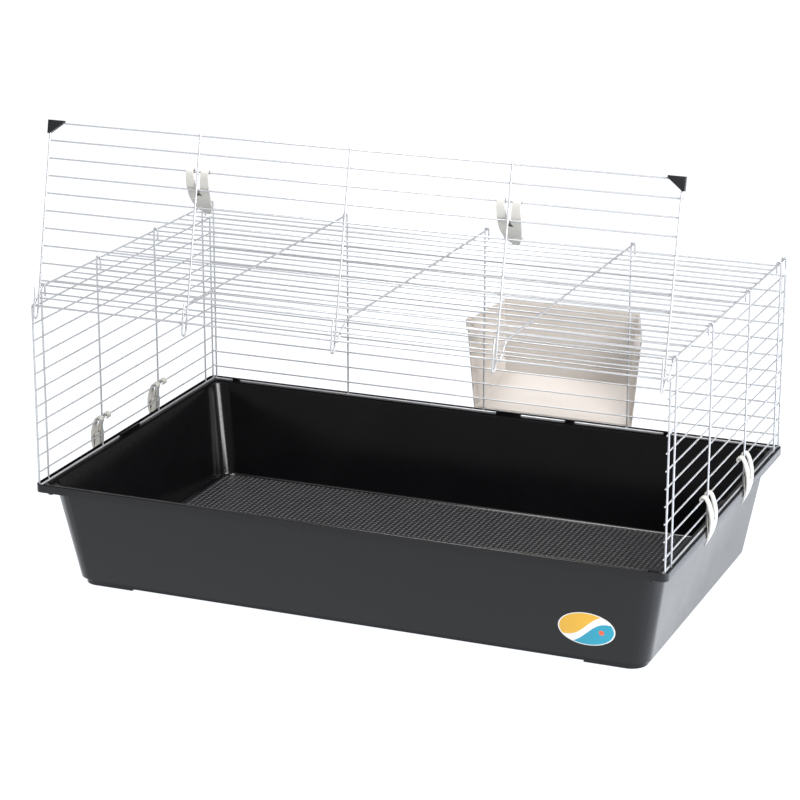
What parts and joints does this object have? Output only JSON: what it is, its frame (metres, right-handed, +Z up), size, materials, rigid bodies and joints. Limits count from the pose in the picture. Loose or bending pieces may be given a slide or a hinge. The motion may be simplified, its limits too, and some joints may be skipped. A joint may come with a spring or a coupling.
{
  "type": "wire rabbit cage",
  "caption": "Wire rabbit cage on a deep plastic tray: barred panels, a full-width front door swung up over the roof, snap clips at the rim and a hay rack on the back.",
  "frame": {"origin": "on the ground under the middle of the whole outline, door open and hay rack in place", "axes": "+X along the length to the right as seen from the door side, +Y from the door side to the back, +Z up"},
  "size_m": [0.963, 0.6714, 0.6854],
  "materials": {
    "tray_plastic": "satin black injection-moulded polypropylene",
    "wire_enamel": "pale grey enamelled steel wire",
    "cap_plastic": "dark plastic",
    "clip_plastic": "warm grey plastic",
    "rack_plastic": "cloudy beige translucent plastic",
    "label_film": "printed film with a plain colour pattern"
  },
  "bodies": {
    "cage": {"base_tray": "tray_plastic", "left_panel_hooked_uprights": "wire_enamel", "left_panel_end_uprights": "wire_enamel", "left_panel_rails": "wire_enamel", "left_panel_base_wire": "wire_enamel", "right_panel_hooked_uprights": "wire_enamel", "right_panel_end_uprights": "wire_enamel", "right_panel_rails": "wire_enamel", "right_panel_base_wire": "wire_enamel", "back_panel_hooked_uprights": "wire_enamel", "back_panel_rails": "wire_enamel", "back_panel_base_wire": "wire_enamel", "roof_cross_wires": "wire_enamel", "roof_long_wires": "wire_enamel", "roof_front_wire": "wire_enamel", "door_hinge_wire": "wire_enamel", "oval_label": "label_film"},
    "door": {"door_uprights": "wire_enamel", "door_rails": "wire_enamel", "door_left_corner_cap": "cap_plastic", "door_right_corner_cap": "cap_plastic"},
    "door_left_clip": {"door_left_clip": "clip_plastic"},
    "door_right_clip": {"door_right_clip": "clip_plastic"},
    "left_front_clip": {"left_front_clip": "clip_plastic"},
    "left_rear_clip": {"left_rear_clip": "clip_plastic"},
    "right_front_clip": {"right_front_clip": "clip_plastic"},
    "right_rear_clip": {"right_rear_clip": "clip_plastic"},
    "hay_rack": {"hay_rack": "rack_plastic"}
  },
  "joints": [
    {"name": "door_hinge", "type": "hinge", "parent": "cage", "child": "door", "pos_m": [0, -0.32586, 0.43029], "axis": [1, 0, 0], "range_deg": [0, 194.5]},
    {"name": "door_left_clip_pivot", "type": "hinge", "parent": "door", "child": "door_left_clip", "pos_m": [-0.228, -0.27298, 0.63214], "axis": [1, 0, 0], "range_deg": [0, 136]},
    {"name": "door_right_clip_pivot", "type": "hinge", "parent": "door", "child": "door_right_clip", "pos_m": [0.228, -0.27298, 0.63214], "axis": [1, 0, 0], "range_deg": [0, 136]},
    {"name": "left_front_clip_pivot", "type": "hinge", "parent": "cage", "child": "left_front_clip", "pos_m": [-0.4677, -0.12955, 0.2056], "axis": [0, 1, 0], "range_deg": [0, 140]},
    {"name": "left_rear_clip_pivot", "type": "hinge", "parent": "cage", "child": "left_rear_clip", "pos_m": [-0.4677, 0.05445, 0.2056], "axis": [0, 1, 0], "range_deg": [0, 140]},
    {"name": "right_front_clip_pivot", "type": "hinge", "parent": "cage", "child": "right_front_clip", "pos_m": [0.4677, -0.12955, 0.2056], "axis": [0, -1, 0], "range_deg": [0, 140]},
    {"name": "right_rear_clip_pivot", "type": "hinge", "parent": "cage", "child": "right_rear_clip", "pos_m": [0.4677, 0.05445, 0.2056], "axis": [0, -1, 0], "range_deg": [0, 140]},
    {"name": "hay_rack_lift", "type": "slide", "parent": "cage", "child": "hay_rack", "axis": [0, 0, 1], "range_m": [0, 0.016]}
  ]
}
